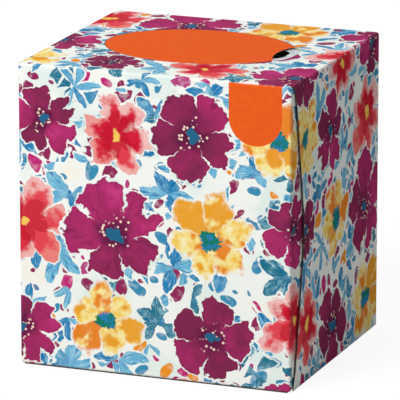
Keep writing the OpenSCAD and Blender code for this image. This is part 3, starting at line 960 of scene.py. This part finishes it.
# Tissue clip
# About ninety two-ply tissues, folded into each other and bent down over both long sides, so
# that the ends show arches one inside the other. Soft creped tissue paper, held by nothing.
LEAF = 5.4 * MM
LEAF_GAP = 0.7 * MM
LEAD_X, LEAD_Y, LEAD_MIDDLE, LEAD_THICK = 53 * MM, 23 * MM, 0.8 * MM, 0.28 * MM
LEAF_INSETS = (0.0, 0.5, 0.2, 0.7, 0.3, 0.6, 0.1, 0.4)
CLIP_X = 55.05 * MM
CLIP_Y = 49.75 * MM
CLIP_Z0, CLIP_Z1 = 0.9 * MM, 115.97 * MM
CLIP_FOLD = 14 * MM
leaves = []
for number, inset in enumerate(LEAF_INSETS):
    half = CLIP_Y - number * LEAF
    top = CLIP_Z1 - number * LEAF
    bend = max(CLIP_FOLD - number * LEAF, 1.2 * MM)
    # One row of edges along X at the foot of the front leg, drawn up, round, across and down
    bpy.ops.object.select_all(action="DESELECT")
    bpy.ops.mesh.primitive_grid_add(
        x_subdivisions=28, y_subdivisions=1, size=1, location=(0, 0, 0)
    )
    leaf = bpy.context.object
    bpy.ops.object.mode_set(mode="EDIT")
    bpy.ops.mesh.select_mode(type="VERT")
    rise = (top - bend - CLIP_Z0) / 10
    bpy.ops.transform.resize(value=(2 * (CLIP_X - inset * MM), rise, 1), center_override=(0, 0, 0))
    bpy.ops.transform.rotate(value=-math.pi / 2, orient_axis="X", center_override=(0, 0, 0))
    bpy.ops.transform.translate(value=(0, -half, CLIP_Z0 + rise / 2))
    select_in(leaf, lambda p: p.z > CLIP_Z0 + rise / 2)
    draw_out((0, 0, 1), [rise] * 9)
    quarter = {"steps": 8, "angle": math.pi / 2, "axis": (1, 0, 0)}
    bpy.ops.mesh.spin(center=(0, bend - half, top - bend), **quarter)
    draw_out((0, 1, 0), [2 * (half - bend) / 12] * 12)
    bpy.ops.mesh.spin(center=(0, half - bend, top - bend), **quarter)
    draw_out((0, 0, -1), [rise] * 10)
    bpy.ops.mesh.select_all(action="SELECT")
    bpy.ops.mesh.remove_doubles(threshold=HAIR)
    bpy.ops.mesh.normals_make_consistent(inside=False)
    bpy.ops.object.mode_set(mode="OBJECT")
    leaves.append(leaf)
bpy.ops.object.select_all(action="DESELECT")
for leaf in leaves:
    leaf.select_set(True)
bpy.context.view_layer.objects.active = leaves[0]
bpy.ops.object.join()
clip = bpy.context.object
clip.name = "folded_tissues"
# Each arch is a bundle of some ten folded sheets. Soft paper never lies quite straight.
waves = bpy.data.textures.new("tissue_waves", "CLOUDS")
waves.noise_scale = 0.03
apply_modifier(
    "DISPLACE", texture=waves, texture_coords="LOCAL", strength=1.1 * MM, mid_level=0.75
)
apply_modifier("SOLIDIFY", thickness=LEAF - LEAF_GAP, offset=-1)
apply_modifier("BEVEL", width=0.9 * MM, segments=3, limit_method="ANGLE")
shade(clip, 50)

# The first tissue's folded edge lies along the middle, ready under the slot: two plies of a
# Z fold, with a lifted, wavy lip.
lead_ends = (LEAD_MIDDLE - LEAD_Y, LEAD_MIDDLE + LEAD_Y)
lead = sheet_between((-LEAD_X, LEAD_X), lead_ends, CLIP_Z1, 60, 26)
lead.name = "leading_tissue"
mesh = bmesh.from_edit_mesh(lead.data)
for vert in mesh.verts:
    x, y = vert.co.x / LEAD_X, (vert.co.y - LEAD_MIDDLE) / LEAD_Y
    lip = smooth_step(0.45, 1.0, y)
    wave = math.sin(9.5 * x + 1.3) + 0.6 * math.sin(17 * x - 2 * y)
    fold_line = math.exp(-((y + 0.12) / 0.05) ** 2)
    vert.co.z += (0.35 + 0.12 * wave + lip * (0.35 + 0.25 * wave) + 0.25 * fold_line) * MM
    vert.co.y += 0.5 * MM * math.sin(6 * x + 0.5) * abs(y)
bmesh.update_edit_mesh(lead.data)
bpy.ops.object.mode_set(mode="OBJECT")
apply_modifier("SOLIDIFY", thickness=LEAD_THICK, offset=0)
shade(lead, 50)

# Creped tissue: fine cross ridges, and sheet edges as fine lines.
tissue_paper, draw, shader = new_material("tissue_paper")
place = draw.on_object()
fibre = draw.use("paper_fibre", Place=place, Size=0.4)
crepe = draw.noise(draw.stretched(place, (3.2, 0.5, 0.5)), 1.0, 3.0, 0.6)
sheets = draw.noise(draw.stretched(place, (0.02, 2.6, 2.6)), 1.0, 1.0)
height = draw.plus(draw.times(crepe, 0.7), draw.times(sheets, 0.5))
bump = draw.bump(height, 0.35, 0.0003)
colour = draw.mix(fibre["Mottle"], ink(250, 249, 245), ink(240, 238, 232))
# Painted shade: the colour is darker along the lines between the sheets, for the gaps between the
# layers.
colour = draw.mix(draw.ramp(sheets, 0.30, 0.46, 0.35, 0.0), colour, ink(216, 212, 204))
wire(draw, shader, Base_Color=colour, Roughness=0.95, Normal=bump, Sheen_Weight=0.25)
for piece in (clip, lead):
    piece.data.materials.append(tissue_paper)
    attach(piece, "root")
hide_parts("tissue_clip")


# Table and backdrop
# One pale sweep under and round the box. To the camera, and to gloss and clear film, it shows
# near white, and a part of its own shading stays in it, so the box keeps a faint contact shadow.
bpy.ops.object.select_all(action="DESELECT")
bpy.ops.mesh.primitive_plane_add(size=6, location=(0, 0, -0.05 * MM))
table = bpy.context.object
table.name = "table"
bpy.ops.object.transform_apply(location=True)
bpy.ops.object.mode_set(mode="EDIT")
bpy.ops.mesh.subdivide(number_cuts=6)
bpy.ops.object.mode_set(mode="OBJECT")


def seen_directly(draw):
    """1 for the rays that show a surface to the camera, by themselves or in gloss and film."""
    path = draw.node("LightPath", out=None).outputs
    seen = draw.maths("MAXIMUM", path["Is Camera Ray"], path["Is Glossy Ray"])
    return draw.maths("MAXIMUM", seen, path["Is Transmission Ray"])


pale_table, draw, shader = new_material("pale_table")
wire(draw, shader, Base_Color=(0.55, 0.55, 0.55, 1), Roughness=0.9)
seen = seen_directly(draw)
glow = draw.node("Emission", {"Color": (1, 1, 1, 1), "Strength": 0.90})
shown = draw.node("BsdfDiffuse", {"Color": (0.14, 0.14, 0.14, 1)})
shown = draw.node("AddShader", {0: glow, 1: shown})
sweep = draw.node("MixShader", {0: seen, 1: shader.outputs[0], 2: shown})
draw.tree.links.new(sweep, draw.tree.nodes["Material Output"].inputs["Surface"])
table.data.materials.append(pale_table)

world = bpy.data.worlds.new("studio")
bpy.context.scene.world = world
world.use_nodes = True
world.node_tree.nodes.clear()
draw = Wiring(world.node_tree)
seen = seen_directly(draw)
room = draw.node("Background", {"Color": (1, 1, 1, 1), "Strength": 0.33})
white = draw.node("Background", {"Color": (1, 1, 1, 1), "Strength": 1.0})
both = draw.node("MixShader", {0: seen, 1: room, 2: white})
draw.node("OutputWorld", {"Surface": both}, None)


def soft_box(name, place, size, power):
    """A large square lamp that faces the box."""
    bpy.ops.object.light_add(type="AREA", location=place)
    lamp = bpy.context.object
    lamp.name = name
    lamp.data.size = size
    lamp.data.energy = power
    lamp.rotation_euler = (Vector((0, 0, 0.06)) - Vector(place)).to_track_quat("-Z", "Y").to_euler()


soft_box("key_lamp", (-0.60, -1.27, 1.32), 0.9, 28)
soft_box("back_lamp", (-0.5, 1.3, 0.9), 0.9, 5)

bpy.context.view_layer.update()
